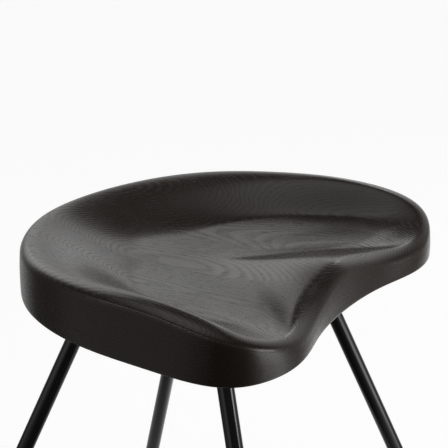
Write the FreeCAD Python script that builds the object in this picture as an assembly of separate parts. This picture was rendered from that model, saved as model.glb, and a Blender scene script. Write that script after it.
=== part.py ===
import FreeCAD, Part
import math
import os
from FreeCAD import Vector

# Wooden stool: a carved hardwood seat on a welded base of four raked round steel bars.
# Millimetres. +Z is up, z = 0 is the floor, and the front of the seat faces -Y.
# The origin is on the floor under the middle of the seat's depth, so a sitter's right is -X.

# Heights
underside_height = 395.5  # floor to the flat underside of the seat
floor_thickness = 22.0  # wood left under the dished sitting surface

# Plan of one half of the seat, from the middle of the front edge round to the middle of the back
notch_y = -159.0  # front edge between the thighs
flank_x = 70.0  # where the notch runs out into the thigh lobe
flank_y = -166.0
lobe_x = 132.0  # foremost point of the thigh lobe
lobe_y = -177.0
corner_x = 191.5  # round front corner
corner_y = -152.5
side_x = 202.5  # widest point
side_y = -73.0
waist_x = 194.5  # side beside the sitter's hips
waist_y = 6.0
hip_x = 155.5  # round rear corner
hip_y = 96.5
shoulder_x = 84.5  # where the rear corner runs into the back
shoulder_y = 154.0
back_y = 177.0  # middle of the back

# Height of the rim above the underside at those places, without the ridge
notch_rim = 38.5
flank_rim = 30.3
lobe_rim = 27.5
corner_rim = 44.3
side_rim = 58.0
waist_rim = 56.0
hip_rim = 51.5
shoulder_rim = 46.8
back_rim = 43.5

# Plan width of the inner slope, from the rim down to the dished floor
notch_slope = 125.0
flank_slope = 80.0
lobe_slope = 58.0
corner_slope = 54.0
side_slope = 55.0
waist_slope = 77.0
hip_slope = 106.0
shoulder_slope = 104.0
back_slope = 96.0

slope_power = 2.1  # shape of the inner slope: soft at the rim, tighter where it meets the floor

# Rounding over the top of the rim, how far it goes inward: broad at the front and the sides
notch_round = 16.0
flank_round = 20.0
lobe_round = 14.0
corner_round = 17.0
side_round = 19.0
waist_round = 17.0
hip_round = 13.0
shoulder_round = 8.0
back_round = 7.0

# How far the rounding goes down
notch_drop = 11.0
flank_drop = 14.0
lobe_drop = 11.0
rim_drop = 8.5

wall_lean = 1.0  # how far the outside leans inward below the rounding
wall_lean_start = 0.45  # share of its height where it starts to lean

underside_radius = 3.0  # rounding along the lower edge
dish_middle_y = 18.0  # deepest part of the dish, behind the middle of the seat
dish_flat_radius = 8.0  # small level spot there

# Gentle rise of the floor from there out to those places
notch_rise = 7.0
flank_rise = 8.0
lobe_rise = 9.0
corner_rise = 16.0
side_rise = 14.0
waist_rise = 8.0
hip_rise = 3.0
shoulder_rise = 3.0
back_rise = 3.0

# Ridge between the thighs, from the notch back to the middle of the seat
ridge_height = 8.0
ridge_half_width = 150.0
ridge_sharpness = 1.1  # 2 is a round crest, 1 a sharp one
ridge_full_y = -130.0  # full height behind the notch
ridge_end_y = 8.0  # runs out into the floor here

# Welded base
leg_diameter = 16.0  # solid round bar
leg_top_x = 91.0  # leg axes where they meet the underside of the seat
front_leg_top_y = -71.5
rear_leg_top_y = 65.0
foot_x = 196.0  # leg axes on the floor
foot_y = 210.5
bar_width = 34.0  # flat bars of the frame under the seat
bar_thickness = 6.0
bar_overhang = 16.0  # bar beyond the leg axis at each end
bar_corner_radius = 8.0
weld_size = 3.6  # fillet weld round the top of each leg

# Fixing of the base to the seat
screw_diameter = 6.0
screw_hole_clearance = 0.6
screw_length = 16.0  # under the head
screw_head_diameter = 10.5
screw_head_height = 3.3
screw_head_rounding = 0.55  # share of the head's height that is rounded
screw_key_size = 4.0  # hexagon socket across flats
screw_key_depth = 2.0
washer_diameter = 12.0
washer_thickness = 1.6
washer_clearance = 0.4
insert_diameter = 10.0  # threaded bush driven into the wood
insert_length = 12.0
insert_flange_diameter = 13.0
insert_flange_thickness = 1.2
insert_hole_extra = 1.5  # depth of the hole beyond the bush
cross_bar_screw_x = 46.0  # screws in the front and rear bars, each side of the middle
side_bar_screw_spacing = 56.0  # the two screws in each side bar

# Foot glides
glide_wall = 2.6
glide_sole = 5.0  # under the end of the bar
glide_height = 26.0
glide_edge_radius = 1.2

# Fineness of the carved surface
stations = 144
lower_edge_steps = 3
wall_shares = (0.3, 0.55, 0.8)  # rows up the outside, as shares of its height
rim_steps = 8
slope_steps = 14
floor_steps = 7

leg_radius = leg_diameter / 2.0
frame_underside = underside_height - bar_thickness
far = 2000.0  # beyond everything
spare = 100.0  # bar cut away at a level end
through = 1.0  # how far a hole is cut past the face it opens
tiny = 0.01


def rim_curves():
    """Closed curves round the plan: rim height, slope width, rounding inward and down, floor rise."""
    half = [
        (0.0, notch_y, notch_rim, notch_slope, notch_round, notch_drop, notch_rise),
        (flank_x, flank_y, flank_rim, flank_slope, flank_round, flank_drop, flank_rise),
        (lobe_x, lobe_y, lobe_rim, lobe_slope, lobe_round, lobe_drop, lobe_rise),
        (corner_x, corner_y, corner_rim, corner_slope, corner_round, rim_drop, corner_rise),
        (side_x, side_y, side_rim, side_slope, side_round, rim_drop, side_rise),
        (waist_x, waist_y, waist_rim, waist_slope, waist_round, rim_drop, waist_rise),
        (hip_x, hip_y, hip_rim, hip_slope, hip_round, rim_drop, hip_rise),
        (shoulder_x, shoulder_y, shoulder_rim, shoulder_slope, shoulder_round, rim_drop, shoulder_rise),
        (0.0, back_y, back_rim, back_slope, back_round, rim_drop, back_rise),
    ]
    other = [(-place[0], *place[1:]) for place in reversed(half[1:-1])]
    places = half + other
    run = [0.0]
    for here, after in zip(places, places[1:] + places[:1]):
        run.append(run[-1] + math.hypot(after[0] - here[0], after[1] - here[1]))
    curves = []
    for third in (2, 3, 4, 5, 6):
        curve = Part.BSplineCurve()
        curve.interpolate(
            Points=[Vector(place[0], place[1], place[third]) for place in places],
            PeriodicFlag=True,
            Parameters=run,
        )
        curves.append(curve)
    return curves, run[-1]


def ridge(place):
    """Height that the ridge adds at a place in the plan."""
    across = min(abs(place.x) / ridge_half_width, 1.0) ** ridge_sharpness
    share = (ridge_end_y - place.y) / (ridge_end_y - ridge_full_y)
    share = min(max(share, 0.0), 1.0)
    lengthwise = share * share * (3.0 - 2.0 * share)
    return ridge_height * (1.0 - across) ** 2 * lengthwise


def rim_profile(edge, inward, rim, slope, rounding, drop, rise):
    """Points up the outside, over the rim, down the inner slope and across the floor."""
    crest = edge + inward * rounding
    rim_top = rim + ridge(crest)
    points = []
    for step in range(lower_edge_steps + 1):
        turn = math.radians(90.0 * step / lower_edge_steps)
        inset = underside_radius * (1.0 - math.sin(turn))
        points.append((edge + inward * inset, underside_radius * (1.0 - math.cos(turn))))
    wall_top = rim_top - drop
    for share in wall_shares:
        leaning = max(share - wall_lean_start, 0.0) / (1.0 - wall_lean_start)
        inset = wall_lean * leaning**2
        points.append((edge + inward * inset, underside_radius + share * (wall_top - underside_radius)))
    for step in range(rim_steps + 1):
        turn = math.radians(90.0 * step / rim_steps)
        inset = wall_lean + (rounding - wall_lean) * (1.0 - math.cos(turn))
        points.append((edge + inward * inset, wall_top + drop * math.sin(turn)))
    middle = Vector(0, dish_middle_y, 0)
    to_middle = middle - crest
    reach = to_middle.Length
    to_middle.normalize()
    dish_run = reach - dish_flat_radius
    steps = [slope * step / slope_steps for step in range(1, slope_steps + 1)]
    for step in range(1, floor_steps + 1):
        steps.append(slope + (dish_run - slope) * step / floor_steps)
    for away in steps:
        place = crest + to_middle * away
        share = min(away / slope, 1.0)
        fall = (1.0 - share) ** slope_power * (1.0 + slope_power * share)
        dish = floor_thickness + rise * (1.0 - away / dish_run) ** 2
        wall = (rim - floor_thickness - rise) * fall
        points.append((place, dish + wall + ridge(place)))
    return [Vector(p.x, p.y, underside_height + height) for p, height in points]


def carved_blank():
    """The seat without its holes: one smooth skin closed by the underside and the level spot."""
    (rim_line, slope_line, round_line, drop_line, rise_line), length = rim_curves()
    net = []
    for number in range(stations):
        where = length * number / stations
        on_rim = rim_line.value(where)
        edge = Vector(on_rim.x, on_rim.y, 0)
        along = rim_line.tangent(where)[0]
        inward = Vector(-along.y, along.x, 0)
        inward.normalize()
        slope = slope_line.value(where).z
        rounding = round_line.value(where).z
        drop = drop_line.value(where).z
        rise = rise_line.value(where).z
        net.append(rim_profile(edge, inward, on_rim.z, slope, rounding, drop, rise))
    rows = len(net[0])
    skin = Part.BSplineSurface()
    skin.buildFromPolesMultsKnots(
        net,
        [1] * (stations + 1),
        [4] + [1] * (rows - 4) + [4],
        [float(number) for number in range(stations + 1)],
        [float(number) for number in range(rows - 2)],
        True,
        False,
        3,
        3,
    )
    skin_face = skin.toShape()
    rings = [edge for edge in skin_face.Edges if edge.isClosed()]
    caps = [Part.Face(Part.Wire([ring])) for ring in rings]
    shell = Part.makeShell([skin_face] + caps)
    shell.sewShape()
    solid = Part.makeSolid(shell)
    if solid.Volume < 0:
        solid.reverse()
    return solid


def upright(radius, low, high, x, y):
    return Part.makeCylinder(radius, high - low, Vector(x, y, low))


def slab(low, high):
    return Part.makeBox(2 * far, 2 * far, high - low, Vector(-far, -far, low))


def leg_axis(side, front):
    top_y = front_leg_top_y if front else rear_leg_top_y
    low = Vector(side * foot_x, -foot_y if front else foot_y, 0)
    high = Vector(side * leg_top_x, top_y, underside_height)
    return low, high


def along_leg(side, front, radius, start, end):
    """Round bar on the leg's axis, between two distances from the floor along that axis."""
    low, high = leg_axis(side, front)
    direction = high - low
    direction.normalize()
    return Part.makeCylinder(radius, end - start, low + direction * start, direction)


def at_height(side, front, height):
    low, high = leg_axis(side, front)
    return low + (high - low) * (height / underside_height)


screw_lowest = frame_underside - washer_thickness - screw_head_height
screw_seat = frame_underside - washer_thickness
front_bar_y = at_height(1, True, frame_underside).y
rear_bar_y = at_height(1, False, frame_underside).y
bar_end = at_height(1, True, frame_underside).x + bar_overhang
side_bar_x = bar_end - bar_width / 2.0
side_bar_middle_y = (front_bar_y + rear_bar_y) / 2.0
screw_places = []
for side in (1, -1):
    screw_places.append(("front", side * cross_bar_screw_x, front_bar_y))
    screw_places.append(("rear", side * cross_bar_screw_x, rear_bar_y))
    for end in (1, -1):
        name = "left" if side > 0 else "right"
        y = side_bar_middle_y + end * side_bar_screw_spacing / 2.0
        screw_places.append((name, side * side_bar_x, y))

# Seat, with blind holes for the threaded bushes
seat = carved_blank()
holes = []
for name, x, y in screw_places:
    deep = underside_height + insert_length + insert_hole_extra
    hole = upright(insert_diameter / 2.0, underside_height - through, deep, x, y)
    flange_top = underside_height + insert_flange_thickness
    rebate = upright(insert_flange_diameter / 2.0, underside_height - through, flange_top, x, y)
    holes.append(hole.fuse(rebate))
seat = seat.cut(holes)

# Flat bars of the welded frame
bolt_hole = (screw_diameter + screw_hole_clearance) / 2.0


def cross_bar(y, name):
    size = (2.0 * bar_end, bar_width, bar_thickness)
    bar = Part.makeBox(*size, Vector(-bar_end, y - bar_width / 2.0, frame_underside))
    out = -1.0 if name == "front" else 1.0
    ends = []
    for edge in bar.Edges:
        middle = edge.CenterOfMass
        is_upright = abs(edge.tangentAt(edge.FirstParameter).z) > 0.9
        if is_upright and (middle.y - y) * out > 0:
            ends.append(edge)
    bar = bar.makeFillet(bar_corner_radius, ends)
    low, high = frame_underside - through, underside_height + through
    places = [(x, py) for bar_name, x, py in screw_places if bar_name == name]
    return bar.cut([upright(bolt_hole, low, high, x, py) for x, py in places])


def side_bar(x, name):
    start = front_bar_y + bar_width / 2.0
    length = rear_bar_y - bar_width / 2.0 - start
    corner = Vector(x - bar_width / 2.0, start, frame_underside)
    bar = Part.makeBox(bar_width, length, bar_thickness, corner)
    low, high = frame_underside - through, underside_height + through
    places = [(px, py) for bar_name, px, py in screw_places if bar_name == name]
    return bar.cut([upright(bolt_hole, low, high, px, py) for px, py in places])


# Legs, their welds and their glides
def leg(side, front):
    bar = along_leg(side, front, leg_radius, -spare, underside_height + spare)
    return bar.common(slab(glide_sole, frame_underside))


def weld(side, front):
    centre = at_height(side, front, frame_underside)
    ring = Part.makeTorus(leg_radius, weld_size, centre, Vector(0, 0, 1))
    ring = ring.common(slab(frame_underside - 2.0 * weld_size, frame_underside))
    return ring.cut(along_leg(side, front, leg_radius, 0.0, underside_height + spare))


def glide(side, front):
    sleeve = along_leg(side, front, leg_radius + glide_wall, -spare, glide_height)
    rims = [e for e in sleeve.Edges if e.isClosed() and e.CenterOfMass.z > 0]
    sleeve = sleeve.makeFillet(glide_edge_radius, rims)
    sleeve = sleeve.common(slab(0.0, far))
    return sleeve.cut(leg(side, front))


# Screws, washers and threaded bushes
def screw(x, y):
    head_radius = screw_head_diameter / 2.0
    head = upright(head_radius, screw_lowest, screw_seat, x, y)
    rims = [e for e in head.Edges if e.isClosed() and e.CenterOfMass.z < screw_lowest + tiny]
    head = head.makeFillet(screw_head_rounding * screw_head_height, rims)
    shank = upright(screw_diameter / 2.0, screw_seat, screw_seat + screw_length, x, y)
    across = screw_key_size / math.sqrt(3.0)
    corners = []
    for number in range(7):
        turn = math.radians(60.0 * number)
        place = Vector(x + across * math.cos(turn), y + across * math.sin(turn), screw_lowest)
        corners.append(place)
    key = Part.Face(Part.makePolygon(corners)).extrude(Vector(0, 0, screw_key_depth))
    return head.fuse(shank).removeSplitter().cut(key)


def washer(x, y):
    ring = upright(washer_diameter / 2.0, screw_seat, frame_underside, x, y)
    bore = (screw_diameter + washer_clearance) / 2.0
    return ring.cut(upright(bore, screw_seat - through, frame_underside + through, x, y))


def bush(x, y):
    top = underside_height + insert_length
    body = upright(insert_diameter / 2.0, underside_height, top, x, y)
    flange_top = underside_height + insert_flange_thickness
    flange = upright(insert_flange_diameter / 2.0, underside_height, flange_top, x, y)
    bore = upright(screw_diameter / 2.0, underside_height - through, top + through, x, y)
    return body.fuse(flange).removeSplitter().cut(bore)


corners = {
    "front_left": (1, True),
    "front_right": (-1, True),
    "rear_left": (1, False),
    "rear_right": (-1, False),
}
spots = [(x, y) for name, x, y in screw_places]
nodes = {
    "seat": seat,
    "frame_bar_front": cross_bar(front_bar_y, "front"),
    "frame_bar_rear": cross_bar(rear_bar_y, "rear"),
    "frame_bar_left": side_bar(side_bar_x, "left"),
    "frame_bar_right": side_bar(-side_bar_x, "right"),
    "leg_welds": Part.makeCompound([weld(*place) for place in corners.values()]),
    "frame_screws": Part.makeCompound([screw(x, y) for x, y in spots]),
    "frame_washers": Part.makeCompound([washer(x, y) for x, y in spots]),
    "threaded_bushes": Part.makeCompound([bush(x, y) for x, y in spots]),
}
for name, place in corners.items():
    nodes["leg_" + name] = leg(*place)
    nodes["glide_" + name] = glide(*place)

os.makedirs("parts", exist_ok=True)
for name, shape in nodes.items():
    shape.exportStep("parts/" + name + ".step")
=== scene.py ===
import functools
import math

import bmesh
import bpy
import numpy as np
from bpy.props import FloatProperty, FloatVectorProperty, IntProperty, PointerProperty
from mathutils import Matrix, Vector


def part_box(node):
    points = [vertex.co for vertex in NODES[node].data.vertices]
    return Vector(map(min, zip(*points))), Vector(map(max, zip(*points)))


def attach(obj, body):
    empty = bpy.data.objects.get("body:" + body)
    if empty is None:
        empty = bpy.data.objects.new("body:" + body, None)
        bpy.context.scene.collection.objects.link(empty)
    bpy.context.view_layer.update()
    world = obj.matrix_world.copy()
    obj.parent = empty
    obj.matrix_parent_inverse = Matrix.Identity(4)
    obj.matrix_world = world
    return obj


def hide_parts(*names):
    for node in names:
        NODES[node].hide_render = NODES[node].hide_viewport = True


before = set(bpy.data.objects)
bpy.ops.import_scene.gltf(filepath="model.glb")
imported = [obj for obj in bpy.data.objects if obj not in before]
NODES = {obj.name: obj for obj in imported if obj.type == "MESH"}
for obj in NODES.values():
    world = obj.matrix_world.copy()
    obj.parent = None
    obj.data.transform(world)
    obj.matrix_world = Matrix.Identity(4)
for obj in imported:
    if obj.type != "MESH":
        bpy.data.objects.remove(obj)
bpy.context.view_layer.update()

bl_info = {
    "name": "Carved saddle stool",
    "version": (1, 0, 0),
    "blender": (4, 5, 0),
    "location": "3D View > Sidebar > Stool",
    "description": "A carved, stained wooden stool on a welded base of raked round bars",
    "category": "Add Mesh",
}

BODY = "root"

# One half of the seat's plan, from the middle of the front edge round to the middle of the back:
# place across, place front to back, height of the rim, width of the inner slope, rounding of the rim inward
# and down, rise of the floor from the middle of the dish towards the slope. Metres.
HALF_PLAN = (
    (0.0, -0.159, 0.0385, 0.125, 0.016, 0.011, 0.007),
    (0.070, -0.166, 0.0303, 0.080, 0.020, 0.014, 0.008),
    (0.132, -0.177, 0.0275, 0.058, 0.014, 0.011, 0.009),
    (0.1915, -0.1525, 0.0443, 0.054, 0.017, 0.0085, 0.016),
    (0.2025, -0.073, 0.058, 0.055, 0.019, 0.0085, 0.014),
    (0.1945, 0.006, 0.056, 0.077, 0.017, 0.0085, 0.008),
    (0.1555, 0.0965, 0.0515, 0.106, 0.013, 0.0085, 0.003),
    (0.0845, 0.154, 0.0468, 0.104, 0.008, 0.0085, 0.003),
    (0.0, 0.177, 0.0435, 0.096, 0.007, 0.0085, 0.003),
)
# Points round the seat, and its rows of points: along the underside, up the lower edge, the wall, the rim,
# the inner slope, the floor and the level spot.
STATIONS = 144
UNDERSIDE_INSET = 2.6  # lower radii
EDGE_STEPS = 3
WALL_SHARES = (0.3, 0.55, 0.8)
RIM_STEPS = 8
SLOPE_STEPS = 14
FLOOR_STEPS = 7
SPOT_SHARES = (0.6, 0.25)

# Corners of the base: side of the seat, front or rear.
CORNERS = {
    "front_left": (1, True),
    "front_right": (-1, True),
    "rear_left": (1, False),
    "rear_right": (-1, False),
}


def length(title, what, default):
    return FloatProperty(name=title, description=what, default=default, unit="LENGTH", precision=4)


def number(title, what, default):
    return FloatProperty(name=title, description=what, default=default)


def tint(title, what, default):
    return FloatVectorProperty(
        name=title, description=what, default=default, size=3, min=0.0, max=1.0, subtype="COLOR"
    )


class SeatSizes(bpy.types.PropertyGroup):
    """Sizes of the carved seat"""

    underside: length("Underside", "Height of the flat underside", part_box("seat")[0].z)
    floor: length("Floor", "Wood left under the dished sitting surface", 0.022)
    wall_lean: length("Wall lean", "How far the outside leans inward below the rim", 0.001)
    lean_start: number("Lean start", "Share of the wall's height where it starts to lean", 0.45)
    lower_radius: length("Lower radius", "Rounding along the lower edge", 0.003)
    slope_power: number("Slope power", "The higher, the sooner the inner slope falls below the rim", 2.1)
    dish_middle: length("Dish middle", "Deepest part of the dish, front to back", 0.018)
    dish_spot: length("Dish spot", "Radius of the level spot there", 0.008)
    ridge_height: length("Ridge height", "Height of the ridge between the thighs", 0.008)
    ridge_half: length("Ridge half width", "Half the width of the ridge", 0.150)
    ridge_sharpness: number("Ridge sharpness", "2 for a round crest, 1 for a sharp one", 1.1)
    ridge_full: length("Ridge full", "The ridge has its full height here, behind the notch", -0.130)
    ridge_end: length("Ridge end", "The ridge runs out into the floor here", 0.008)


class BaseSizes(bpy.types.PropertyGroup):
    """Sizes of the welded base and its fixings"""

    leg_diameter: length("Leg diameter", "Solid round bar", 0.016)
    leg_top_x: length("Leg top across", "Leg axes at the underside of the seat", 0.091)
    front_top: length("Front leg top", "Front leg axes there, front to back", -0.0715)
    rear_top: length("Rear leg top", "Rear leg axes there, front to back", 0.065)
    foot_x: length("Foot across", "Leg axes on the floor", 0.196)
    foot_y: length("Foot front to back", "Leg axes on the floor", 0.2105)
    bar_edge: length("Bar edge", "Small rounding along the edges of the flat bars", 0.0006)
    bar_corner: length("Bar corner", "Rounding of the frame's four corners", 0.008)
    weld_size: length("Weld size", "Fillet weld round the top of each leg", 0.0036)
    weld_ripples: IntProperty(name="Weld ripples", description="Ripples round each weld", default=24)
    screw_diameter: length("Screw diameter", "Machine screws into the seat", 0.006)
    head_diameter: length("Head diameter", "Button heads", 0.0105)
    head_height: length("Head height", "Button heads", 0.0033)
    key_size: length("Key size", "Hexagon socket across flats", 0.004)
    key_depth: length("Key depth", "Depth of the socket", 0.002)
    screw_length: length("Screw length", "Under the head", 0.016)
    washer_diameter: length("Washer diameter", "Plain washers", 0.012)
    washer_bore: length("Washer bore", "Hole in the washers", 0.0064)
    washer_thickness: length("Washer thickness", "Plain washers", 0.0016)
    hole_diameter: length("Hole diameter", "Holes in the flat bars", 0.0066)
    bush_diameter: length("Bush diameter", "Blind holes for the threaded bushes", 0.010)
    bush_flange: length("Bush flange", "Rebate for the flange of the bushes", 0.013)
    bush_flange_depth: length("Flange depth", "Depth of that rebate", 0.0012)
    bush_depth: length("Bush hole depth", "Depth of the blind holes", 0.0135)
    screw_x: length("Screw across", "Screws in the front and rear bars", 0.046)
    screw_gap: length("Screw spacing", "The two screws in each side bar", 0.056)
    glide_wall: length("Glide wall", "Wall of the foot glides", 0.0026)
    glide_sole: length("Glide sole", "Plastic under the end of the bar", 0.005)
    glide_height: length("Glide height", "Along the leg, from the floor", 0.026)
    glide_edge: length("Glide edge", "Rounding of the glide's upper edge", 0.0012)


class Finishes(bpy.types.PropertyGroup):
    """Colours and textures of the finishes"""

    early_wood: tint("Early wood", "Stain in the open-pored wood", (0.0080, 0.0051, 0.0034))
    late_wood: tint("Late wood", "Stain in the dense wood", (0.0185, 0.0116, 0.0073))
    layer_gap: length("Growth layer", "Distance between growth layers", 0.0014)
    board_width: length("Board width", "Width of the glued boards", 0.082)
    steel_coat: tint("Steel coat", "Black coating of the base", (0.0065, 0.0065, 0.0068))
    screw_zinc: tint("Screw zinc", "Plating of screws and washers", (0.50, 0.51, 0.53))
    bush_brass: tint("Bush brass", "Threaded bushes", (0.70, 0.47, 0.18))
    glide_black: tint("Glide black", "Moulded nylon glides", (0.0130, 0.0130, 0.0136))
    floor_white: tint("Floor", "Plain pale studio floor", (0.30, 0.30, 0.30))
    floor_dark: tint("Mirrored floor", "The floor as the finishes mirror it", (0.04, 0.04, 0.04))



# Node building

FLOAT, INTEGER, VECTOR = "NodeSocketFloat", "NodeSocketInt", "NodeSocketVector"
GEOMETRY, MATERIAL, OBJECT = "NodeSocketGeometry", "NodeSocketMaterial", "NodeSocketObject"


class Value:
    """A node's output, to reckon with as with a number."""

    def __init__(self, socket):
        self.socket, self.tree = socket, socket.id_data

    def calc(self, operation, other=None):
        return output(self.tree, "ShaderNodeMath", {0: self, 1: other}, operation=operation)

    def __add__(self, other):
        return self.calc("ADD", other)

    def __sub__(self, other):
        return self.calc("SUBTRACT", other)

    def __mul__(self, other):
        return self.calc("MULTIPLY", other)

    def __truediv__(self, other):
        return self.calc("DIVIDE", other)

    def __rsub__(self, other):
        return output(self.tree, "ShaderNodeMath", {0: other, 1: self}, operation="SUBTRACT")

    def __rtruediv__(self, other):
        return output(self.tree, "ShaderNodeMath", {0: other, 1: self}, operation="DIVIDE")

    __radd__, __rmul__ = __add__, __mul__


def feed(socket, value):
    """Connect a node's output to a socket, or set the socket to a plain value."""
    if isinstance(value, Value):
        value.tree.links.new(value.socket, socket)
    elif value is not None:
        socket.default_value = value


def fill(node, **wires):
    """Fill a node's inputs. Spaces in socket names are written as underscores."""
    for key, value in wires.items():
        feed(node.inputs[key.replace("_", " ")], value)


def put(tree, kind, wires=None, **settings):
    """Add a node, set its properties, and fill its inputs."""
    node = tree.nodes.new(kind)
    for name, value in settings.items():
        setattr(node, name, value)
    for key, value in (wires or {}).items():
        feed(node.inputs[key], value)
    return node


def output(tree, kind, wires=None, key=0, **settings):
    """Add a node and give one of its outputs."""
    return Value(put(tree, kind, wires, **settings).outputs[key])


def vec(operation, first, second=None):
    key = "Value" if operation == "LENGTH" else "Vector"
    return output(first.tree, "ShaderNodeVectorMath", {0: first, 1: second}, key, operation=operation)


def scaled(vector, factor):
    wires = {0: vector, "Scale": factor}
    return output(vector.tree, "ShaderNodeVectorMath", wires, "Vector", operation="SCALE")


def parts(value, kind="XYZ"):
    """The three parts of a vector or a colour."""
    return [Value(socket) for socket in put(value.tree, "ShaderNodeSeparate" + kind, {0: value}).outputs]


def joined(tree, x=None, y=None, z=None):
    return output(tree, "ShaderNodeCombineXYZ", {0: x, 1: y, 2: z})


def remap(value, low, high, to_low=0.0, to_high=1.0, soft=True):
    wires = {"Value": value, "From Min": low, "From Max": high, "To Min": to_low, "To Max": to_high}
    kind = "SMOOTHSTEP" if soft else "LINEAR"
    return output(value.tree, "ShaderNodeMapRange", wires, "Result", interpolation_type=kind)


def mix(share, first, second):
    return output(share.tree, "ShaderNodeMix", {0: share, 2: first, 3: second})


def mix_colour(share, first, second):
    wires = {0: share, 6: (*first, 1.0), 7: (*second, 1.0)}
    return output(share.tree, "ShaderNodeMix", wires, 2, data_type="RGBA")


def noise(vector, scale=1.0, detail=2.0, roughness=0.5):
    wires = {"Vector": vector, "Scale": scale, "Detail": detail, "Roughness": roughness}
    return output(vector.tree, "ShaderNodeTexNoise", wires)


def new_group(name, kind, inputs, result_kind, *results):
    """A node group. Its inputs are given by kind or by a plain default.

    Gives the group, its inputs by name and the sockets of its output node.
    """
    group = bpy.data.node_groups.new(name, kind)
    for title, default in inputs.items():
        plain = {float: FLOAT, int: INTEGER}.get(type(default))
        socket = group.interface.new_socket(title, in_out="INPUT", socket_type=plain or default)
        if plain:
            socket.default_value = default
    for title in results:
        group.interface.new_socket(title, in_out="OUTPUT", socket_type=result_kind)
    start = group.nodes.new("NodeGroupInput")
    end = group.nodes.new("NodeGroupOutput")
    return group, {socket.name: Value(socket) for socket in start.outputs}, end.inputs


def made_once(store, name):
    """Let a function make its data block once: later calls give the one that has the name."""
    def decorate(make):
        @functools.wraps(make)
        def give(*values):
            made = getattr(bpy.data, store)
            return made[name] if name in made else make(name, *values)
        return give
    return decorate


# Shader groups

# Waves in the growth layers, broad and close: stretch, detail and weight.
WAVES = (((9.0, 3.4, 9.0), 1.5, 2.4), ((60.0, 17.0, 60.0), 2.0, 0.22))
BOARD_SEED = 7.31
BOARD_SHIFT = 3.7
TRUNK_TAPER = 0.028
LAYER_CHANGE = 130.0  # per metre
LAYER_UNEVENNESS = 1.6
# Shares of a growth layer over which the early wood opens and closes, and of the noise that makes a pore.
EARLY_OPENS = (0.0, 0.10)
EARLY_CLOSES = (0.22, 0.72)
PORE_LIMITS = (0.56, 0.68)
FIBRES_TO_PORES = 2.6


@made_once("node_groups", "Finish Mottle")
def mottle_group(name):
    """Soft uneven patches in a finish, at a coarse and a fine size."""
    inputs = {"Vector": VECTOR, "Patch Size": 0.03, "Speck Size": 0.001}
    group, given, result = new_group(name, "ShaderNodeTree", inputs, FLOAT, "Patches", "Specks")
    for size, title in (("Patch Size", "Patches"), ("Speck Size", "Specks")):
        feed(result[title], noise(given["Vector"], 1.0 / given[size], 3.0, 0.55))
    return group


@made_once("node_groups", "Growth Layers")
def layers_group(name):
    """Growth layers of glued boards: open early wood and a tone for each board."""
    inputs = {
        "Vector": VECTOR, "Layer Gap": 0.0014, "Board Width": 0.082, "Pith Depth": 0.07,
        "Wander": 0.005, "Middle Height": 0.43,
    }
    group, given, result = new_group(name, "ShaderNodeTree", inputs, FLOAT, "Early Wood", "Board Tone")
    place, width = given["Vector"], given["Board Width"]
    x, y, z = parts(place)
    board = (x / width + 0.5).calc("FLOOR")
    seed = {"W": board + BOARD_SEED}
    luck = output(group, "ShaderNodeTexWhiteNoise", seed, "Color", noise_dimensions="1D")
    aside, tone, side = parts(luck, "Color")
    shift = joined(group, board * BOARD_SHIFT)
    swing = 0.0
    for stretch, detail, weight in WAVES:
        wave = noise(vec("ADD", vec("MULTIPLY", place, stretch), shift), 1.0, detail)
        swing = (wave - 0.5) * weight + swing
    pith_x = (aside - 0.5) * width
    pith_z = given["Pith Depth"] * (tone + 0.6) * (side - 0.45).calc("SIGN")
    dx = x - board * width - pith_x
    dz = z - given["Middle Height"] + pith_z
    radius = (dx * dx + dz * dz).calc("SQRT") + swing * given["Wander"] + y * TRUNK_TAPER
    uneven = noise(joined(group, radius * LAYER_CHANGE, board), 1.0, 1.0)
    layer = (radius / given["Layer Gap"] + uneven * LAYER_UNEVENNESS).calc("FRACT")
    early = remap(layer, *EARLY_OPENS) * remap(layer, *EARLY_CLOSES, 1.0, 0.0)
    feed(result["Early Wood"], early)
    feed(result["Board Tone"], tone)
    return group


@made_once("node_groups", "Pores And Fibres")
def pores_group(name):
    """Open pores and fibres, drawn out along the boards."""
    inputs = {"Vector": VECTOR, "Pore Width": 0.0007, "Pore Length": 0.010}
    group, given, result = new_group(name, "ShaderNodeTree", inputs, FLOAT, "Pores", "Fibres")
    across, along = 1.0 / given["Pore Width"], 1.0 / given["Pore Length"]
    drawn = vec("MULTIPLY", given["Vector"], joined(group, across, along, across))
    feed(result["Pores"], remap(noise(drawn, 0.8, 1.0, 0.4), *PORE_LIMITS))
    feed(result["Fibres"], noise(scaled(drawn, FIBRES_TO_PORES), 1.0, 2.0, 0.6))
    return group


# Materials

def new_material(name):
    """An empty material. Gives the material, its shader and its Object coordinates."""
    material = bpy.data.materials.new(name)
    material.use_nodes = True
    tree = material.node_tree
    tree.nodes.clear()
    shader = put(tree, "ShaderNodeBsdfPrincipled")
    put(tree, "ShaderNodeOutputMaterial", {"Surface": Value(shader.outputs[0])})
    return material, shader, output(tree, "ShaderNodeTexCoord", key="Object")


def grouped(group, place, **wires):
    """Place a shader group, fill its inputs and give its outputs by name."""
    node = put(place.tree, "ShaderNodeGroup", node_tree=group)
    fill(node, Vector=place, **wires)
    return {socket.name: Value(socket) for socket in node.outputs}


def mottle(place, patch_size, speck_size):
    """Patches and specks in a finish."""
    spots = grouped(mottle_group(), place, Patch_Size=patch_size, Speck_Size=speck_size)
    return spots["Patches"], spots["Specks"]


def bumped(height, distance):
    wires = {"Height": height, "Distance": distance, "Strength": 1.0}
    return output(height.tree, "ShaderNodeBump", wires)


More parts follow.
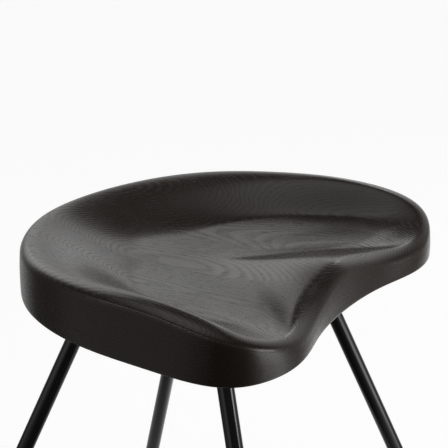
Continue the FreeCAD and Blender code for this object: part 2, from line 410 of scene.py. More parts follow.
@made_once("materials", "Stained wood")
def stained_wood(name, finish):
    material, shader, place = new_material(name)
    grain = grouped(
        layers_group(), place, Layer_Gap=finish.layer_gap, Board_Width=finish.board_width,
        Pith_Depth=0.07, Wander=0.005, Middle_Height=0.43,
    )
    fine = grouped(pores_group(), place, Pore_Width=0.0007, Pore_Length=0.010)
    patches = mottle(place, 0.06, 0.0012)[0]
    early, fibres = grain["Early Wood"], fine["Fibres"]
    pores = fine["Pores"] * remap(early, 0.0, 0.8, 0.40, 1.0, soft=False)
    open_share = early * 0.38 + pores * 0.62
    colour = mix_colour(open_share, finish.late_wood, finish.early_wood)
    tone = 0.74 + grain["Board Tone"] * 0.24 + patches * 0.28 + fibres * 0.16
    wires = {0: 1.0, 6: colour, 7: tone}
    toned = output(place.tree, "ShaderNodeMix", wires, 2, data_type="RGBA", blend_type="MULTIPLY")
    fill(
        shader, IOR=1.45, Base_Color=toned,
        Roughness=0.19 + open_share * 0.14 + patches * 0.04 + fibres * 0.03,
        Normal=bumped(early * -0.60 - pores * 0.60 + fibres * 0.10, 0.00005),
    )
    return material


@made_once("materials", "Black coated steel")
def coated_steel(name, finish):
    material, shader, place = new_material(name)
    patches, specks = mottle(place, 0.025, 0.0011)
    paler = [min(1.0, c * 1.5) for c in finish.steel_coat]
    fill(
        shader, IOR=1.5, Base_Color=mix_colour(patches, finish.steel_coat, paler),
        Roughness=0.09 + patches * 0.05 + specks * 0.02, Normal=bumped(specks, 0.000001),
    )
    return material


def plated_metal(name, colour, roughness, speck_size):
    material, shader, place = new_material(name)
    patches, specks = mottle(place, 0.006, speck_size)
    darker = [c * 0.72 for c in colour]
    fill(
        shader, Metallic=1.0, Base_Color=mix_colour(patches, darker, colour),
        Roughness=roughness + specks * 0.18, Normal=bumped(specks, 0.00001),
    )
    return material


@made_once("materials", "Plated screw steel")
def screw_steel(name, finish):
    return plated_metal(name, finish.screw_zinc, 0.26, 0.0004)


@made_once("materials", "Bush brass")
def bush_brass(name, finish):
    return plated_metal(name, finish.bush_brass, 0.30, 0.0005)


@made_once("materials", "Moulded nylon")
def glide_plastic(name, finish):
    material, shader, place = new_material(name)
    patches, specks = mottle(place, 0.012, 0.0005)
    scuffed = [min(1.0, c * 2.6) for c in finish.glide_black]
    scuff = remap(parts(place)[2], 0.0, 0.006, 1.0, 0.0) * patches
    fill(
        shader, Base_Color=mix_colour(scuff, finish.glide_black, scuffed),
        Roughness=0.42 + specks * 0.2, Normal=bumped(specks, 0.00003),
    )
    return material


# Finishing pieces

def add_object(name, mesh):
    piece = bpy.data.objects.new(name, mesh)
    bpy.context.scene.collection.objects.link(piece)
    return piece


def plain_mesh(piece, name):
    """The evaluated piece as a plain mesh of its own, in place of the piece's data and modifiers."""
    graph = bpy.context.evaluated_depsgraph_get()
    mesh = bpy.data.meshes.new_from_object(piece.evaluated_get(graph), depsgraph=graph)
    mesh.name = name
    piece.modifiers.clear()
    if piece.type == "MESH":
        piece.data = mesh
        return piece
    bpy.data.objects.remove(piece)
    return add_object(name, mesh)


def settle(piece, material, slot, *nodes):
    """Give a finished piece its material and its body, and hide the nodes that it stands for. The slot is
    not used.
    """
    piece.data.materials.clear()
    piece.data.materials.append(material)
    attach(piece, BODY)
    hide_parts(*nodes)


def smooth(mesh, sharp_from):
    """Shade smooth, apart from edges that turn by more than an angle in degrees."""
    mesh.shade_smooth()
    mesh.set_sharp_from_angle(angle=math.radians(sharp_from))


def mesh_of(name, vertices, faces):
    mesh = bpy.data.meshes.new(name)
    mesh.from_pydata([tuple(v) for v in vertices], [], faces)
    mesh.validate()
    return mesh


def ring_faces(rows, count):
    """Quads between rows of points that each go once round."""
    faces = []
    for row in range(rows - 1):
        for step in range(count):
            a = row * count + step
            b = row * count + (step + 1) % count
            faces.append((a, b, b + count, a + count))
    return faces


def mend(mesh, merge=0.0):
    """Join points that lie closer than merge, and turn every face outward."""
    work = bmesh.new()
    work.from_mesh(mesh)
    if merge:
        bmesh.ops.remove_doubles(work, verts=work.verts, dist=merge)
    bmesh.ops.recalc_face_normals(work, faces=work.faces)
    work.to_mesh(mesh)
    work.free()


def ringed_mesh(name, rings, ends=True, merge=0.0):
    """A mesh over rings of points, with its first and last ring filled if it has ends."""
    sides = len(rings[0])
    vertices = [point for ring in rings for point in ring]
    faces = ring_faces(len(rings), sides)
    if ends:
        faces += [tuple(range(sides)), tuple(range(len(vertices) - sides, len(vertices)))]
    mesh = mesh_of(name, vertices, faces)
    mend(mesh, merge)
    return mesh


def turns(sides):
    """Angles that go once round."""
    return [2.0 * math.pi * step / sides for step in range(sides)]


def circle(x, y, radius, sides):
    return [(x + radius * math.cos(t), y + radius * math.sin(t)) for t in turns(sides)]


def neighbours(points):
    """Each point of a ring with the next one."""
    return zip(points, points[1:] + points[:1])


# Places in the base

def leg_axis(base, side, front):
    foot = Vector((side * base.foot_x, -base.foot_y if front else base.foot_y, 0.0))
    top_y = base.front_top if front else base.rear_top
    return foot, Vector((side * base.leg_top_x, top_y, bpy.context.scene.seat_sizes.underside))


def axis_y(base, front, height):
    """Place of the front or rear leg axes at a height, front to back."""
    foot, top = leg_axis(base, 1, front)
    return foot.y + (top.y - foot.y) * (height / top.z)


def bar_bottom():
    """Height of the lower face of the flat bars."""
    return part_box("frame_bar_front")[0].z


def screw_places(base):
    """Places of the screws, as bar name, x and y."""
    front, rear = (axis_y(base, at_front, bar_bottom()) for at_front in (True, False))
    left_low, left_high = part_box("frame_bar_left")
    side_x = (left_low.x + left_high.x) / 2.0
    middle = (front + rear) / 2.0
    places = []
    for side in (1, -1):
        places.append(("front", side * base.screw_x, front))
        places.append(("rear", side * base.screw_x, rear))
        for end in (1, -1):
            name = "left" if side > 0 else "right"
            places.append((name, side * side_x, middle + end * base.screw_gap / 2.0))
    return places


# Seat

def closed_spline(run, values, where):
    """A smooth closed curve through values at the distances in run, and its slope, read at where."""
    gaps = np.diff(run)
    count = len(values)
    system = np.zeros((count, count))
    right = np.zeros_like(values)
    for spot in range(count):
        before, after, following = gaps[spot - 1], gaps[spot], (spot + 1) % count
        system[spot, spot - 1] += before
        system[spot, spot] += 2.0 * (before + after)
        system[spot, following] += after
        right[spot] = 6.0 * (
            (values[following] - values[spot]) / after - (values[spot] - values[spot - 1]) / before
        )
    bend = np.linalg.solve(system, right)
    spot = np.clip(np.searchsorted(run, where, side="right") - 1, 0, count - 1)
    following = (spot + 1) % count
    gap = gaps[spot][:, None]
    a = (run[spot + 1] - where)[:, None] / gap
    b = 1.0 - a
    value = a * values[spot] + b * values[following]
    value += ((a**3 - a) * bend[spot] + (b**3 - b) * bend[following]) * gap**2 / 6.0
    slope = (values[following] - values[spot]) / gap
    slope += ((3 * b**2 - 1) * bend[following] - (3 * a**2 - 1) * bend[spot]) * gap / 6.0
    return value, slope


def ridge(seat, place):
    """Height that the ridge between the thighs adds at places in the plan."""
    across = np.minimum(np.abs(place[:, 0]) / seat.ridge_half, 1.0) ** seat.ridge_sharpness
    share = np.clip((seat.ridge_end - place[:, 1]) / (seat.ridge_end - seat.ridge_full), 0.0, 1.0)
    return seat.ridge_height * (1.0 - across) ** 2 * share * share * (3.0 - 2.0 * share)


def seat_rows(seat):
    """Rows of points round the seat: underside, outside, rim, inner slope and floor."""
    half = np.array(HALF_PLAN)
    mirror = [-1.0] + [1.0] * (half.shape[1] - 1)
    places = np.vstack([half, half[-2:0:-1] * mirror])
    steps = np.roll(places[:, :2], -1, axis=0) - places[:, :2]
    run = np.concatenate([[0.0], np.cumsum(np.hypot(steps[:, 0], steps[:, 1]))])
    values, slopes = closed_spline(run, places, np.arange(STATIONS) * run[-1] / STATIONS)
    edge, along = values[:, :2], slopes[:, :2]
    along = along / np.linalg.norm(along, axis=1)[:, None]
    inward = np.stack([-along[:, 1], along[:, 0]], axis=1)
    rim, slope, rounding, drop, rise = values[:, 2:].T
    level = np.ones(STATIONS)
    crest = edge + inward * rounding[:, None]
    rim_top = rim + ridge(seat, crest)
    rows = [(edge + inward * UNDERSIDE_INSET * seat.lower_radius, 0.0 * level)]
    for step in range(EDGE_STEPS + 1):
        turn = math.radians(90.0 * step / EDGE_STEPS)
        inset = seat.lower_radius * (1.0 - math.sin(turn))
        rows.append((edge + inward * inset, seat.lower_radius * (1.0 - math.cos(turn)) * level))
    wall_top = rim_top - drop
    for share in WALL_SHARES:
        inset = seat.wall_lean * (max(share - seat.lean_start, 0.0) / (1.0 - seat.lean_start)) ** 2
        rows.append((edge + inward * inset, seat.lower_radius + share * (wall_top - seat.lower_radius)))
    for step in range(RIM_STEPS + 1):
        turn = math.radians(90.0 * step / RIM_STEPS)
        inset = seat.wall_lean + (rounding - seat.wall_lean) * (1.0 - math.cos(turn))
        rows.append((edge + inward * inset[:, None], wall_top + drop * math.sin(turn)))
    middle = np.array((0.0, seat.dish_middle))
    to_middle = middle - crest
    reach = np.linalg.norm(to_middle, axis=1)
    to_middle = to_middle / reach[:, None]
    dish_run = reach - seat.dish_spot
    steps = [slope * step / SLOPE_STEPS for step in range(1, SLOPE_STEPS + 1)]
    steps += [slope + (dish_run - slope) * step / FLOOR_STEPS for step in range(1, FLOOR_STEPS + 1)]
    for away in steps:
        place = crest + to_middle * away[:, None]
        share = np.minimum(away / slope, 1.0)
        fall = (1.0 - share) ** seat.slope_power * (1.0 + seat.slope_power * share)
        dish = seat.floor + rise * (1.0 - away / dish_run) ** 2
        wall = (rim - seat.floor - rise) * fall
        rows.append((place, dish + wall + ridge(seat, place)))
    for share in SPOT_SHARES:
        rows.append((middle - to_middle * seat.dish_spot * share, seat.floor * level))
    return [np.column_stack([place, seat.underside + height]) for place, height in rows]


HOLE_SIDES = 32


def close_underside(mesh, seat, base):
    """Fill the flat underside round the blind holes for the bushes."""
    work = bmesh.new()
    work.from_mesh(mesh)
    loops = [edge for edge in work.edges if edge.is_boundary]
    flange, bore = base.bush_flange / 2.0, base.bush_diameter / 2.0
    profile = (
        (flange, 0.0), (flange, base.bush_flange_depth),
        (bore, base.bush_flange_depth), (bore, base.bush_depth),
    )
    for bar, x, y in screw_places(base):
        rings = []
        for radius, depth in profile:
            height = seat.underside + depth
            rings.append([work.verts.new((*p, height)) for p in circle(x, y, radius, HOLE_SIDES)])
        for lower, upper in zip(rings, rings[1:]):
            for (a, b), (d, c) in zip(neighbours(lower), neighbours(upper)):
                work.faces.new((a, b, c, d))
        work.faces.new(rings[-1])
        loops += [work.edges.get(pair) for pair in neighbours(rings[0])]
    bmesh.ops.triangle_fill(work, use_beauty=True, edges=loops, normal=(0.0, 0.0, -1.0))
    bmesh.ops.recalc_face_normals(work, faces=work.faces)
    work.to_mesh(mesh)
    work.free()


class STOOL_OT_seat(bpy.types.Operator):
    """Make the carved seat"""

    bl_idname = "stool.seat"
    bl_label = "Carved seat"

    def execute(self, context):
        seat, base = context.scene.seat_sizes, context.scene.base_sizes
        rows = seat_rows(seat)
        faces = ring_faces(len(rows), STATIONS)
        last = (len(rows) - 1) * STATIONS
        faces.append(tuple(range(last, last + STATIONS)))
        piece = add_object("carved_seat", mesh_of("carved_seat", np.vstack(rows), faces))
        rounding = piece.modifiers.new("Rounding", "SUBSURF")
        rounding.levels = rounding.render_levels = 1
        piece = plain_mesh(piece, "carved_seat")
        close_underside(piece.data, seat, base)
        smooth(piece.data, sharp_from=50.0)
        settle(piece, stained_wood(context.scene.finishes), "stained_wood", "seat")
        return {"FINISHED"}


# Flat bars of the frame

CORNER_STEPS = 8
BAR_HOLE_SIDES = 40
PLATE_MERGE = 1e-6


def bar_outline(low, high, corner, rounded):
    """Plan of a flat bar, with round corners where they are named by their signs."""
    points = []
    for sx, sy in ((-1, -1), (1, -1), (1, 1), (-1, 1)):
        x = low.x if sx < 0 else high.x
        y = low.y if sy < 0 else high.y
        if (sx, sy) not in rounded:
            points.append((x, y))
            continue
        centre = (x - sx * corner, y - sy * corner)
        start = math.atan2(sy, sx) - math.pi / 4.0
        for step in range(CORNER_STEPS + 1):
            turn = start + math.pi / 2.0 * step / CORNER_STEPS
            points.append((centre[0] + corner * math.cos(turn), centre[1] + corner * math.sin(turn)))
    return points


def plate(name, loops, low, high, edge):
    """A flat plate with holes and softly rounded edges, as a mesh in place."""
    curve = bpy.data.curves.new(name, "CURVE")
    curve.dimensions = "2D"
    curve.fill_mode = "BOTH"
    curve.extrude = (high - low) / 2.0 - edge
    curve.bevel_depth = edge
    curve.bevel_resolution = 2
    curve.offset = -edge
    for loop in loops:
        spline = curve.splines.new("POLY")
        spline.points.add(len(loop) - 1)
        for point, (x, y) in zip(spline.points, loop):
            point.co = (x, y, 0.0, 1.0)
        spline.use_cyclic_u = True
    piece = plain_mesh(add_object(name + "_curve", curve), name)
    piece.data.transform(Matrix.Translation((0.0, 0.0, (low + high) / 2.0)))
    mend(piece.data, PLATE_MERGE)
    return piece


class STOOL_OT_bars(bpy.types.Operator):
    """Make the four flat bars of the frame under the seat"""

    bl_idname = "stool.bars"
    bl_label = "Flat bars"

    def execute(self, context):
        base = context.scene.base_sizes
        rounded = {"front": ((-1, -1), (1, -1)), "rear": ((-1, 1), (1, 1)), "left": (), "right": ()}
        for name, corners in rounded.items():
            low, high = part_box("frame_bar_" + name)
            loops = [bar_outline(low, high, base.bar_corner, corners)]
            for bar, x, y in screw_places(base):
                if bar == name:
                    loops.append(circle(x, y, base.hole_diameter / 2.0, BAR_HOLE_SIDES))
            piece = plate("flat_bar_" + name, loops, low.z, high.z, base.bar_edge)
            smooth(piece.data, sharp_from=32.0)
            settle(piece, coated_steel(context.scene.finishes), "coated_steel", "frame_bar_" + name)
        return {"FINISHED"}


# Geometry node trees of the base

RIPPLE_STEPS = 8.0
BEAD_POINTS = 17
BEAD_WOBBLE = 0.16
BEAD_MERGE = 0.00002


def run_tree(piece, tree, **values):
    """Run a geometry tree on a piece and keep the plain mesh. Spaces in input names are underscores."""
    modifier = piece.modifiers.new(tree.name, "NODES")
    modifier.node_group = tree
    for item in tree.interface.items_tree:
        key = item.name.replace(" ", "_")
        if item.in_out == "INPUT" and key in values:
            modifier[item.identifier] = values[key]
    return plain_mesh(piece, piece.name)


def bar_frame(given):
    """A raked bar's run, the level way that it leans, the level way across and its upright share."""
    run = vec("SUBTRACT", given["Head"], given["Foot"])
    way = vec("NORMALIZE", run)
    lean = vec("NORMALIZE", vec("MULTIPLY", way, (1.0, 1.0, 0.0)))
    across = vec("CROSS_PRODUCT", lean, (0.0, 0.0, 1.0))
    return run, lean, across, parts(way)[2]


def axis_at(given, run, height):
    """The point of the bar's axis at a height."""
    share = (height - parts(given["Foot"])[2]) / parts(run)[2]
    return vec("ADD", given["Foot"], scaled(run, share))


def positions(tree):
    return parts(output(tree, "GeometryNodeInputPosition"))


def moved(mesh, spot):
    return output(mesh.tree, "GeometryNodeSetPosition", {"Geometry": mesh, "Position": spot})


def end_tree(geometry, given, result):
    whole = output(geometry.tree, "GeometryNodeRealizeInstances", {"Geometry": geometry})
    wires = {"Geometry": whole, "Material": given["Material"]}
    feed(result["Geometry"], output(geometry.tree, "GeometryNodeSetMaterial", wires))


@made_once("node_groups", "Raked Round Bar")
def raked_bar_tree(name):
    """A round bar on a leaning axis, cut level at both ends."""
    inputs = {
        "Foot": VECTOR, "Head": VECTOR, "Diameter": 0.016, "Low Cut": 0.0, "High Cut": 0.4,
        "Sides": 64, "Rows": 8, "Material": MATERIAL,
    }
    tree, given, result = new_group(name, "GeometryNodeTree", inputs, GEOMETRY, "Geometry")
    wires = {"Vertices": given["Sides"], "Side Segments": given["Rows"], "Radius": 1.0, "Depth": 1.0}
    tube = output(tree, "GeometryNodeMeshCylinder", wires, "Mesh", fill_type="NGON")
    x, y, z = positions(tree)
    run, lean, across, upright = bar_frame(given)
    radius = given["Diameter"] * 0.5
    height = remap(z, -0.5, 0.5, given["Low Cut"], given["High Cut"], soft=False)
    offset = vec("ADD", scaled(lean, x * radius / upright), scaled(across, y * radius))
    spot = vec("ADD", axis_at(given, run, height), offset)
    end_tree(moved(tube, spot), given, result)
    return tree


@made_once("node_groups", "Weld Bead")
def weld_tree(name):
    """A rippled fillet weld that follows the foot of a raked bar under a plate."""
    inputs = {
        "Foot": VECTOR, "Head": VECTOR, "Diameter": 0.016, "Plate Height": 0.391, "Bead": 0.0036,
        "Ripples": 24, "Ripple Depth": 0.16, "Seed": 1, "Material": MATERIAL,
    }
    tree, given, result = new_group(name, "GeometryNodeTree", inputs, GEOMETRY, "Geometry")
    round_points = given["Ripples"] * RIPPLE_STEPS + 1.0
    wires = {"Size X": 1.0, "Size Y": 1.0, "Vertices X": round_points, "Vertices Y": BEAD_POINTS}
    grid = output(tree, "GeometryNodeMeshGrid", wires, "Mesh")
    x, y = positions(tree)[:2]
    turn, section = x * (2.0 * math.pi), y * (2.0 * math.pi)
    beat = ((x + 0.5) * given["Ripples"]).calc("FRACT")
    # Each ripple laps over the one before: a quick step up and a long run down.
    lap = remap(beat, 0.0, 0.2) * remap(beat, 0.2, 1.0, 1.0, 0.0)
    cosine, sine = turn.calc("COSINE"), turn.calc("SINE")
    wobble = noise(joined(tree, cosine, sine, given["Seed"]), 1.7, 2.0)
    size = (1.0 - given["Ripple Depth"] * (1.0 - lap) - wobble * BEAD_WOBBLE) * given["Bead"]
    run, lean, across = bar_frame(given)[:3]
    reach = given["Diameter"] * 0.5 + size * section.calc("COSINE")
    drop = (size * section.calc("SINE")).calc("MINIMUM", 0.0)
    spot = vec("ADD", scaled(lean, cosine * reach), scaled(across, sine * reach))
    spot = vec("ADD", spot, axis_at(given, run, given["Plate Height"] + drop))
    wires = {"Geometry": moved(grid, spot), "Distance": BEAD_MERGE}
    end_tree(output(tree, "GeometryNodeMergeByDistance", wires), given, result)
    return tree


@made_once("node_groups", "Set At Places")
def places_tree(name):
    """A template set on each of a piece's points, turned about the vertical by chance."""
    inputs = {"Geometry": GEOMETRY, "Template": OBJECT, "Turn": 3.14, "Seed": 5, "Material": MATERIAL}
    tree, given, result = new_group(name, "GeometryNodeTree", inputs, GEOMETRY, "Geometry")
    points = output(tree, "GeometryNodeMeshToPoints", {"Mesh": given["Geometry"]})
    template = output(tree, "GeometryNodeObjectInfo", {"Object": given["Template"]}, "Geometry")
    wires = {"Max": joined(tree, z=given["Turn"]), "Seed": given["Seed"]}
    chance = output(tree, "FunctionNodeRandomValue", wires, data_type="FLOAT_VECTOR")
    wires = {"Points": points, "Instance": template, "Rotation": chance}
    end_tree(output(tree, "GeometryNodeInstanceOnPoints", wires), given, result)
    return tree


def at_corner(base, corner):
    foot, head = leg_axis(base, *corner)
    return {"Foot": foot, "Head": head, "Diameter": base.leg_diameter}


class STOOL_OT_legs(bpy.types.Operator):
    """Make the four raked legs of round bar"""

    bl_idname = "stool.legs"
    bl_label = "Legs"

    def execute(self, context):
        base = context.scene.base_sizes
        steel = coated_steel(context.scene.finishes)
        for name, corner in CORNERS.items():
            piece = add_object("round_leg_" + name, bpy.data.meshes.new("round_leg_" + name))
            piece = run_tree(
                piece, raked_bar_tree(), **at_corner(base, corner), Low_Cut=base.glide_sole,
                High_Cut=bar_bottom(), Sides=64, Rows=8, Material=steel,
            )
            smooth(piece.data, sharp_from=40.0)
            settle(piece, steel, "coated_steel", "leg_" + name)
        return {"FINISHED"}


class STOOL_OT_welds(bpy.types.Operator):
    """Make the weld beads round the tops of the legs"""

    bl_idname = "stool.welds"
    bl_label = "Welds"

    def execute(self, context):
        base = context.scene.base_sizes
        steel = coated_steel(context.scene.finishes)
        beads = bmesh.new()
        for seed, (name, corner) in enumerate(CORNERS.items(), start=1):
            piece = add_object("weld_" + name, bpy.data.meshes.new("weld_" + name))
            piece = run_tree(
                piece, weld_tree(), **at_corner(base, corner), Plate_Height=bar_bottom(),
                Bead=base.weld_size, Ripples=base.weld_ripples, Ripple_Depth=0.16, Seed=seed,
                Material=steel,
            )
            beads.from_mesh(piece.data)
            bpy.data.objects.remove(piece)
        bmesh.ops.recalc_face_normals(beads, faces=beads.faces)
        mesh = bpy.data.meshes.new("weld_beads")
        beads.to_mesh(mesh)
        beads.free()
        piece = add_object("weld_beads", mesh)
        smooth(mesh, sharp_from=60.0)
        settle(piece, steel, "coated_steel", "leg_welds")
        return {"FINISHED"}


# Screws and washers

FASTENER_SIDES = 48
HEAD_FLAT = 0.62  # of its radius
HEAD_STEPS = 8
HEAD_RIM = 0.0007
SCREW_EDGE = 0.0002
SCREW_POINT = 0.0008
WASHER_EDGE = 0.00015
WASHER_MERGE = 1e-7


def ring(radius, height):
    return [(*p, height) for p in circle(0.0, 0.0, radius, FASTENER_SIDES)]


def hexagon(across, wider, height):
    """A ring with six flats, set out by a width all round."""
    sixth = math.pi / 3.0
    points = []
    for t in turns(FASTENER_SIDES):
        radius = across / 2.0 / math.cos((t + sixth / 2.0) % sixth - sixth / 2.0) + wider
        points.append((radius * math.cos(t), radius * math.sin(t), height))
    return points


def screw_template(base):
    """A button-head screw with a hexagon socket, its head downwards, its seat at the origin."""
    head, tall, shank = base.head_diameter / 2.0, base.head_height, base.screw_diameter / 2.0
    rings = [
        hexagon(base.key_size, 0.0, -tall + base.key_depth),
        hexagon(base.key_size, 0.0, -tall + SCREW_EDGE),
        hexagon(base.key_size, SCREW_EDGE, -tall),
    ]
    flat = HEAD_FLAT * head
    for step in range(HEAD_STEPS + 1):
        turn = math.pi / 2.0 * step / HEAD_STEPS
        height = -tall + (tall - HEAD_RIM) * (1.0 - math.cos(turn))
        rings.append(ring(flat + (head - flat) * math.sin(turn), height))
    rings += [
        ring(head, -SCREW_EDGE), ring(head - SCREW_EDGE, 0.0), ring(shank, 0.0),
        ring(shank, base.screw_length - SCREW_POINT), ring(shank - SCREW_POINT, base.screw_length),
    ]
    return add_object("button_screw", ringed_mesh("button_screw", rings))


def washer_template(base):
    """A plain washer with softened edges, its upper face at the origin."""
    outer, bore, thick = base.washer_diameter / 2.0, base.washer_bore / 2.0, base.washer_thickness
    soft = WASHER_EDGE
    profile = (
        (bore + soft, 0.0), (outer - soft, 0.0), (outer, -soft), (outer, soft - thick),
        (outer - soft, -thick), (bore + soft, -thick), (bore, soft - thick), (bore, -soft),
        (bore + soft, 0.0),
    )
    rings = [ring(radius, height) for radius, height in profile]
    return add_object("plain_washer", ringed_mesh("plain_washer", rings, False, WASHER_MERGE))


class STOOL_OT_fasteners(bpy.types.Operator):
    """Make the screws and washers that hold the frame to the seat"""

    bl_idname = "stool.fasteners"
    bl_label = "Screws and washers"

    def execute(self, context):
        base = context.scene.base_sizes
        metal = screw_steel(context.scene.finishes)
        low = bar_bottom()
        kinds = (
            ("frame_button_screws", screw_template(base), low - base.washer_thickness, "frame_screws"),
            ("frame_plain_washers", washer_template(base), low, "frame_washers"),
        )
        for name, template, height, node in kinds:
            points = [(x, y, height) for bar, x, y in screw_places(base)]
            piece = add_object(name, mesh_of(name, points, []))
            piece = run_tree(
                piece, places_tree(), Template=template, Turn=math.pi / 3.0, Seed=5, Material=metal
            )
            bpy.data.objects.remove(template)
            smooth(piece.data, sharp_from=35.0)
            settle(piece, metal, "screw_steel", node)
        return {"FINISHED"}


class STOOL_OT_bushes(bpy.types.Operator):
    """Finish the threaded bushes, which keep their own solids"""

    bl_idname = "stool.bushes"
    bl_label = "Threaded bushes"

    def execute(self, context):
        bushes = NODES["threaded_bushes"]
        bushes.data.materials.clear()
        bushes.data.materials.append(bush_brass(context.scene.finishes))
        return {"FINISHED"}


# Foot glides

GLIDE_SIDES = 72
GLIDE_STEPS = 6
SOLE_EDGE = ((0.0008, 0.0), (0.0003, 0.0002), (0.0, 0.0008), (0.0, 0.004))  # inset and height
SQUARE_FROM = 0.62  # of the glide's height
MOUTH_EDGE = 0.0003


def glide_mesh(name, base, corner):
    """A moulded sleeve round the end of a leg: level on the floor, square to the leg at its top."""
    foot, head = leg_axis(base, *corner)
    way = (head - foot).normalized()
    first = way.cross(Vector((0.0, 0.0, 1.0))).normalized()
    second = way.cross(first)
    inner = base.leg_diameter / 2.0
    outer, soft, tall = inner + base.glide_wall, base.glide_edge, base.glide_height

    def asides(radius):
        return [(first * math.cos(t) + second * math.sin(t)) * radius for t in turns(GLIDE_SIDES)]

    def level_ring(radius, height):
        return [foot + aside + way * ((height - aside.z) / way.z) for aside in asides(radius)]

    def square_ring(radius, along):
        return [foot + aside + way * along for aside in asides(radius)]

    rings = [level_ring(outer - inset, height) for inset, height in SOLE_EDGE]
    rings.append(square_ring(outer, tall * SQUARE_FROM))
    for step in range(GLIDE_STEPS + 1):
        turn = math.pi / 2.0 * step / GLIDE_STEPS
        inset, below = soft * (1.0 - math.cos(turn)), soft * (1.0 - math.sin(turn))
        rings.append(square_ring(outer - inset, tall - below))
    rings.append(square_ring(inner + MOUTH_EDGE, tall))
    rings.append(square_ring(inner, tall - MOUTH_EDGE))
    rings.append(level_ring(inner, base.glide_sole))
    return ringed_mesh(name, rings)


class STOOL_OT_glides(bpy.types.Operator):
    """Make the moulded foot glides"""

    bl_idname = "stool.glides"
    bl_label = "Foot glides"

    def execute(self, context):
        base = context.scene.base_sizes
        for name, corner in CORNERS.items():
            piece = add_object("foot_glide_" + name, glide_mesh("foot_glide_" + name, base, corner))
            smooth(piece.data, sharp_from=40.0)
            settle(piece, glide_plastic(context.scene.finishes), "glide_plastic", "glide_" + name)
        return {"FINISHED"}


# Stage

CAMERA_PLACE = Vector((-1.0688, -0.6731, 0.9195))
CAMERA_AIM = Vector((0.0120, -0.0173, 0.4501))
CAMERA_LENS = 111.24
CAMERA_SENSOR = 36.0
# Light round the studio, by compass degrees from the front of the stool towards its left.
NEAR_FLOOR_LIGHT = (
    (-180, 0.03), (-160, 0.06), (-142, 0.24), (-112, 0.25), (-95, 0.12), (-80, 0.02), (-30, 0.04),
    (-10, 0.25), (5, 1.10), (20, 1.45), (32, 0.45), (45, 0.20), (55, 0.25), (68, 0.55),
    (85, 1.00), (100, 1.40), (140, 0.60), (160, 0.50), (175, 0.25), (180, 0.05),
)
FRONT_GLOW = ((-180, 0.0), (-14, 0.0), (2, 2.2), (22, 1.8), (33, 0.0), (180, 0.0))
HORIZON_LIGHT = (
    (-180, 0.10), (-165, 0.10), (-150, 0.40), (-130, 0.60), (-100, 0.60), (-82, 0.08), (-5, 0.10),
    (8, 1.60), (24, 1.60), (34, 0.40), (55, 0.25), (68, 0.40), (85, 0.90), (97, 0.90),
    (112, 1.05), (118, 0.95), (123, 0.62), (128, 0.46), (150, 0.46), (165, 0.35), (180, 0.10),
)
BACKDROP_LIGHT = (
    (-180, 0.15), (-165, 0.17), (-150, 0.65), (-130, 1.10), (-100, 1.15), (-82, 0.15), (-5, 0.15),
    (8, 1.60), (24, 1.60), (34, 0.50), (55, 0.28), (68, 0.60), (82, 0.95), (97, 1.15), (108, 0.80),
    (114, 1.20), (119, 1.15), (123, 1.15), (127, 1.85), (133, 1.65), (138, 2.20),
    (150, 2.20), (165, 0.90), (180, 0.15),
)
BACKDROP_TOP = (
    (-180, 0.14), (-90, 0.12), (30, 0.14), (45, 0.40), (70, 0.62), (98, 0.64), (108, 0.42),
    (117, 0.44), (123, 0.44), (127, 0.48), (133, 0.49), (138, 0.59), (150, 0.60), (180, 0.14),
)  # sine of the elevation of its upper edge
ROOF_LIGHT = (
    (-180, 1.05), (-130, 0.95), (-100, 0.90), (-60, 0.50), (70, 0.45), (115, 0.80), (145, 1.10),
    (180, 1.05),
)
ROOF_EDGE = (
    (-180, 0.80), (-140, 0.76), (-110, 0.82), (-60, 0.90), (60, 0.92), (110, 0.90), (128, 0.87),
    (144, 0.79), (180, 0.80),
)  # sine of the elevation of its lower edge
STRIP_LIGHT = (
    (-180, 0.0), (-160, 0.3), (-138, 2.0), (-112, 2.6), (-88, 2.0), (-72, 0.5), (-10, 0.45), (20, 0.0),
    (180, 0.0),
)
STRIP_HEIGHT = 0.46  # sine of its elevation
SHOWN_FLOOR_LIGHT = 0.82
GAP_LIGHT = 0.08
# Soft changes with height in the studio, as sines of elevation.
BACKDROP_EDGE = (-0.06, 0.10)
ROOF_FADE = (-0.06, 0.08)
BACKDROP_RISE = (0.06, 0.44)
STRIP_FADE = (0.04, 0.10)
# Soft changes with distance on the floor, in metres, the middle one to shares of the light: a painted
# shadow that dims the floor's glow under the seat.
FRONT_GLOW_START = (0.9, 1.6)
UNDER_SEAT_PAINTED_SHADOW = (0.10, 0.40, 0.45, 1.0)
FLOOR_AWAY = (2.4, 4.5)
FLOOR_REACH = 14.0
# Softboxes: name, place, aim, size and watts.
SOFTBOXES = (
    ("Softbox right", (0.60, -1.90, 0.85), (0.0, 0.0, 0.42), (0.90, 0.6), 9.5),
    ("Softbox behind", (1.21, 0.24, 1.15), (0.19, -0.15, 0.44), (0.22, 0.42), 0.60),
)


def aim_object(piece, place, aim):
    piece.location = place
    piece.rotation_euler = (aim - place).to_track_quat("-Z", "Y").to_euler()


def add_area_light(name, place, aim, size, watts):
    light = bpy.data.lights.new(name, "AREA")
    light.shape = "RECTANGLE"
    light.size, light.size_y = size
    light.energy = watts
    aim_object(add_object(name, light), Vector(place), Vector(aim))


def round_studio(direction, stops):
    """A value that changes with the compass direction, softly between the given stops."""
    x, y = parts(direction)[:2]
    turn = x.calc("ARCTAN2", y * -1.0)
    ramp = put(x.tree, "ShaderNodeValToRGB", {"Fac": remap(turn, -math.pi, math.pi, soft=False)})
    ramp.color_ramp.interpolation = "EASE"
    points = ramp.color_ramp.elements
    while len(points) < len(stops):
        points.new(0.5)
    for point, (degrees, level) in zip(points, stops):
        point.position = (degrees + 180.0) / 360.0
        point.color = (level, level, level, 1.0)
    return Value(ramp.outputs["Color"]) * 1.0


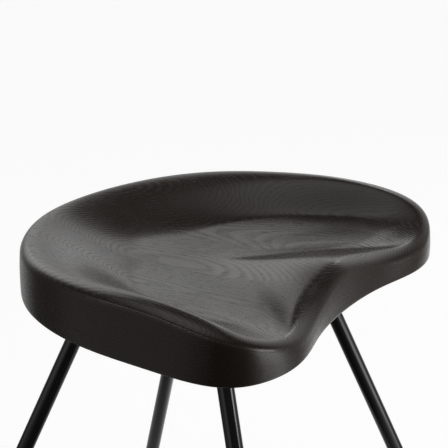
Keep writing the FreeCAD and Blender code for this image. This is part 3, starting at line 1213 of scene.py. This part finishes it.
def studio_world(scene):
    world = bpy.data.worlds.new("Studio")
    scene.world = world
    world.use_nodes = True
    tree = world.node_tree
    tree.nodes.clear()
    direction = output(tree, "ShaderNodeTexCoord", key="Generated")
    height = parts(direction)[2]
    top, roof_edge, roof, low, high, strip = (
        round_studio(direction, stops)
        for stops in (BACKDROP_TOP, ROOF_EDGE, ROOF_LIGHT, HORIZON_LIGHT, BACKDROP_LIGHT, STRIP_LIGHT)
    )
    overhead = remap(height - roof_edge, *ROOF_FADE, GAP_LIGHT, roof)
    backdrop = mix(remap(height, *BACKDROP_RISE), low, high)
    light = mix(remap(height - top, *BACKDROP_EDGE), backdrop, overhead)
    off_strip = (height - STRIP_HEIGHT).calc("ABSOLUTE")
    light = light + remap(off_strip, *STRIP_FADE, 1.0, 0.0) * strip
    shown = output(tree, "ShaderNodeLightPath", key="Is Camera Ray")
    wires = {"Color": (1.0, 1.0, 1.0, 1.0), "Strength": mix(shown, light, 1.0)}
    put(tree, "ShaderNodeOutputWorld", {"Surface": output(tree, "ShaderNodeBackground", wires)})


def floor_material(finish):
    material, shader, place = new_material("Studio floor")
    near, front, far = (
        round_studio(place, stops) for stops in (NEAR_FLOOR_LIGHT, FRONT_GLOW, HORIZON_LIGHT)
    )
    distance = vec("LENGTH", place)
    near = near + front * remap(distance, *FRONT_GLOW_START)
    # The floor's glow is dimmed near the middle: a painted shadow under the seat, as the legs mirror it.
    glow = mix(remap(distance, *FLOOR_AWAY), near * remap(distance, *UNDER_SEAT_PAINTED_SHADOW), far)
    shown = output(place.tree, "ShaderNodeLightPath", key="Is Camera Ray")
    glow = mix(shown, glow, SHOWN_FLOOR_LIGHT)
    fill(
        shader, Roughness=0.9, Specular_IOR_Level=0.0, Emission_Strength=1.0,
        Base_Color=mix_colour(shown, finish.floor_dark, finish.floor_white),
        Emission_Color=output(place.tree, "ShaderNodeCombineColor", {0: glow, 1: glow, 2: glow}),
    )
    return material


class STOOL_OT_stage(bpy.types.Operator):
    """Set up the floor, the lights and the camera"""

    bl_idname = "stool.stage"
    bl_label = "Studio"

    def execute(self, context):
        scene = context.scene
        signs = ((-1, -1), (1, -1), (1, 1), (-1, 1))
        corners = [(sx * FLOOR_REACH, sy * FLOOR_REACH, 0.0) for sx, sy in signs]
        floor = add_object("studio_floor", mesh_of("studio_floor", corners, [(0, 1, 2, 3)]))
        floor.data.materials.append(floor_material(scene.finishes))
        for softbox in SOFTBOXES:
            add_area_light(*softbox)
        studio_world(scene)
        scene.view_settings.view_transform = "Standard"
        lens = bpy.data.cameras.new("Camera")
        lens.lens = CAMERA_LENS
        lens.sensor_width = CAMERA_SENSOR
        scene.camera = add_object("Camera", lens)
        aim_object(scene.camera, CAMERA_PLACE, CAMERA_AIM)
        return {"FINISHED"}


class STOOL_PT_pieces(bpy.types.Panel):
    """The stool's pieces"""

    bl_idname = "STOOL_PT_pieces"
    bl_label = "Stool"
    bl_space_type = "VIEW_3D"
    bl_region_type = "UI"
    bl_category = "Stool"

    def draw(self, context):
        for operator in OPERATORS:
            self.layout.operator(operator.bl_idname)
        for group in (context.scene.seat_sizes, context.scene.base_sizes, context.scene.finishes):
            box = self.layout.box()
            for name in group.__annotations__:
                box.prop(group, name)


OPERATORS = (
    STOOL_OT_seat,
    STOOL_OT_bars,
    STOOL_OT_legs,
    STOOL_OT_welds,
    STOOL_OT_fasteners,
    STOOL_OT_bushes,
    STOOL_OT_glides,
    STOOL_OT_stage,
)
CLASSES = (SeatSizes, BaseSizes, Finishes, *OPERATORS, STOOL_PT_pieces)


def register():
    for item in CLASSES:
        bpy.utils.register_class(item)
    bpy.types.Scene.seat_sizes = PointerProperty(type=SeatSizes)
    bpy.types.Scene.base_sizes = PointerProperty(type=BaseSizes)
    bpy.types.Scene.finishes = PointerProperty(type=Finishes)


def unregister():
    del bpy.types.Scene.finishes
    del bpy.types.Scene.base_sizes
    del bpy.types.Scene.seat_sizes
    for item in reversed(CLASSES):
        bpy.utils.unregister_class(item)


def main():
    register()
    bpy.ops.stool.seat()
    bpy.ops.stool.bars()
    bpy.ops.stool.legs()
    bpy.ops.stool.welds()
    bpy.ops.stool.fasteners()
    bpy.ops.stool.bushes()
    bpy.ops.stool.glides()
    bpy.ops.stool.stage()


if __name__ == "__main__":
    main()
